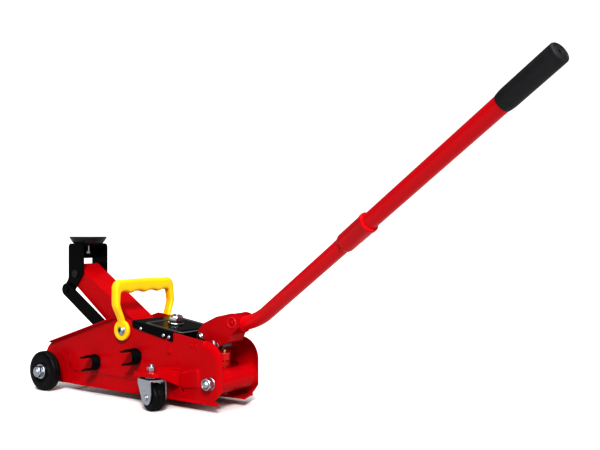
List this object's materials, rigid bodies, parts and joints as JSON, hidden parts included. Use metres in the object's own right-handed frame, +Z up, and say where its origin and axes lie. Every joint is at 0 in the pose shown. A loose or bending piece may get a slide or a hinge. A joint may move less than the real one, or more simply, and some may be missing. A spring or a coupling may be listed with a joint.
{
  "type": "car jack",
  "caption": "Low wheeled trolley jack with a lift arm, round saddle, yellow carry handle and a long bent pump handle in two parts.",
  "frame": {"origin": "on the floor, in the mid-plane, straight below the front axle", "axes": "+X towards the saddle end, +Y to the left of the jack, +Z up"},
  "size_m": [1.0496, 0.3059, 0.5014],
  "materials": {
    "red_paint": "gloss enamel over pressed sheet, with faint ripple and rubbed edges",
    "black_paint": "satin black enamel",
    "zinc_plate": "bright zinc plating",
    "dark_steel": "oiled dark steel",
    "chrome": "polished",
    "wheel_black": "moulded, lightly grained",
    "yellow_plastic": "moulded, semi-gloss",
    "brass": "turned",
    "red_plastic": "moulded",
    "spring_red": "red coated spring wire",
    "grip_rubber": "moulded, matt"
  },
  "bodies": {
    "frame": {"left_side_plate": "red_paint", "right_side_plate": "red_paint", "rear_cross_tube": "red_paint", "rear_tie_bolt": "zinc_plate", "rear_tie_nuts": "zinc_plate", "front_axle_studs": "zinc_plate", "front_axle_spacers": "red_paint", "front_hub_washers": "zinc_plate", "front_axle_nuts": "zinc_plate", "front_cross_bar": "red_paint", "base_plate": "red_paint", "cover_plate": "black_paint", "cover_screws": "zinc_plate", "filler_plug": "chrome", "storage_clips": "black_paint", "clip_rivets": "zinc_plate", "arm_shaft": "zinc_plate", "arm_spacers": "black_paint", "hydraulic_base": "red_paint", "reservoir_shell": "red_paint", "ram_cylinder": "dark_steel", "cylinder_gland": "zinc_plate", "yoke_pivot_bolt": "zinc_plate", "carry_handle_bolts": "zinc_plate", "link_frame_pins": "dark_steel", "left_caster_bracket": "red_paint", "right_caster_bracket": "red_paint", "caster_races": "zinc_plate", "caster_kingpins": "zinc_plate", "pump_spring": "spring_red"},
    "lift_arm": {"lift_arm": "red_paint", "ram_pin": "dark_steel"},
    "saddle_bracket": {"saddle_bracket": "black_paint", "bracket_pin": "dark_steel", "link_bracket_pins": "dark_steel"},
    "saddle": {"saddle": "black_paint", "saddle_bolt": "zinc_plate"},
    "links": {"parallel_links": "black_paint"},
    "ram": {"ram_rod": "chrome", "ram_head": "dark_steel"},
    "left_front_wheel": {"left_front_wheel": "wheel_black"},
    "right_front_wheel": {"right_front_wheel": "wheel_black"},
    "left_caster": {"left_caster_fork": "zinc_plate", "left_caster_axle": "zinc_plate"},
    "right_caster": {"right_caster_fork": "zinc_plate", "right_caster_axle": "zinc_plate"},
    "left_caster_wheel": {"left_caster_wheel": "wheel_black"},
    "right_caster_wheel": {"right_caster_wheel": "wheel_black"},
    "carry_handle": {"carry_handle": "yellow_plastic"},
    "yoke": {"handle_yoke": "red_paint", "roller_pin": "zinc_plate", "socket_screw": "zinc_plate"},
    "roller": {"pump_roller": "dark_steel"},
    "plunger": {"pump_plunger": "brass", "plunger_cap": "red_plastic"},
    "release_valve": {"release_valve": "zinc_plate"},
    "handle_lower": {"handle_lower": "red_paint", "handle_collar": "red_paint"},
    "handle_upper": {"handle_upper": "red_paint", "handle_grip": "grip_rubber"}
  },
  "joints": [
    {"name": "arm_lift", "type": "hinge", "parent": "frame", "child": "lift_arm", "pos_m": [-0.224, 0, 0.096], "axis": [0, -1, 0], "range_deg": [-40.6, 12.4]},
    {"name": "bracket_level", "type": "hinge", "parent": "lift_arm", "child": "saddle_bracket", "pos_m": [-0.03024, 0, 0.21992], "axis": [0, -1, 0], "range_deg": [-12.4, 40.6]},
    {"name": "link_swing", "type": "hinge", "parent": "frame", "child": "links", "pos_m": [-0.204, 0, 0.0654], "axis": [0, -1, 0], "range_deg": [-40.6, 12.4]},
    {"name": "saddle_swivel", "type": "hinge", "parent": "saddle_bracket", "child": "saddle", "pos_m": [-0.03024, 0, 0.28], "axis": [0, 0, 1], "continuous": true},
    {"name": "ram_slide", "type": "slide", "parent": "frame", "child": "ram", "axis": [1, 0, 0], "range_m": [-0.029, 0.009]},
    {"name": "left_front_wheel_spin", "type": "hinge", "parent": "frame", "child": "left_front_wheel", "pos_m": [0, 0.07925, 0.037], "axis": [0, 1, 0], "continuous": true},
    {"name": "right_front_wheel_spin", "type": "hinge", "parent": "frame", "child": "right_front_wheel", "pos_m": [0, -0.07925, 0.037], "axis": [0, 1, 0], "continuous": true},
    {"name": "left_caster_swivel", "type": "hinge", "parent": "frame", "child": "left_caster", "pos_m": [-0.2915, 0.087, 0.05], "axis": [0, 0, 1], "continuous": true},
    {"name": "right_caster_swivel", "type": "hinge", "parent": "frame", "child": "right_caster", "pos_m": [-0.2915, -0.087, 0.05], "axis": [0, 0, 1], "continuous": true},
    {"name": "left_caster_roll", "type": "hinge", "parent": "left_caster", "child": "left_caster_wheel", "pos_m": [-0.29923, 0.08907, 0.023], "axis": [0.2588, 0.9659, 0], "continuous": true},
    {"name": "right_caster_roll", "type": "hinge", "parent": "right_caster", "child": "right_caster_wheel", "pos_m": [-0.29923, -0.08493, 0.023], "axis": [0.2588, 0.9659, 0], "continuous": true},
    {"name": "carry_handle_swing", "type": "hinge", "parent": "frame", "child": "carry_handle", "pos_m": [-0.187, 0, 0.124], "axis": [0, -1, 0], "range_deg": [-15, 45]},
    {"name": "pump_stroke", "type": "hinge", "parent": "frame", "child": "yoke", "pos_m": [-0.344, 0, 0.12], "axis": [0, -1, 0], "range_deg": [-30, 16]},
    {"name": "roller_spin", "type": "hinge", "parent": "yoke", "child": "roller", "pos_m": [-0.378, 0, 0.1075], "axis": [0, 1, 0], "continuous": true},
    {"name": "plunger_slide", "type": "slide", "parent": "frame", "child": "plunger", "axis": [0, 0, 1], "range_m": [-0.0095, 0.0175], "deforming": ["pump_spring"]},
    {"name": "handle_turn", "type": "hinge", "parent": "yoke", "child": "handle_lower", "pos_m": [-0.452, 0, 0.1528], "axis": [-0.9763, 0, 0.2164], "range_deg": [-131, 48]},
    {"name": "valve_turn", "type": "hinge", "parent": "frame", "child": "release_valve", "pos_m": [-0.385, 0.027, 0.066], "axis": [0.1822, 0, 0.9833], "range_deg": [-131, 48]},
    {"name": "handle_extend", "type": "slide", "parent": "handle_lower", "child": "handle_upper", "axis": [-0.8203, 0.2764, 0.5007], "range_m": [0, 0.032]}
  ],
  "couplings": [
    {"joint": "bracket_level", "follows": "arm_lift", "ratio": -1},
    {"joint": "link_swing", "follows": "arm_lift", "ratio": 1},
    {"joint": "ram_slide", "follows": "arm_lift", "m_per_rad": 0.0406},
    {"joint": "plunger_slide", "follows": "pump_stroke", "m_per_rad": -0.033},
    {"joint": "valve_turn", "follows": "handle_turn", "ratio": 1}
  ]
}
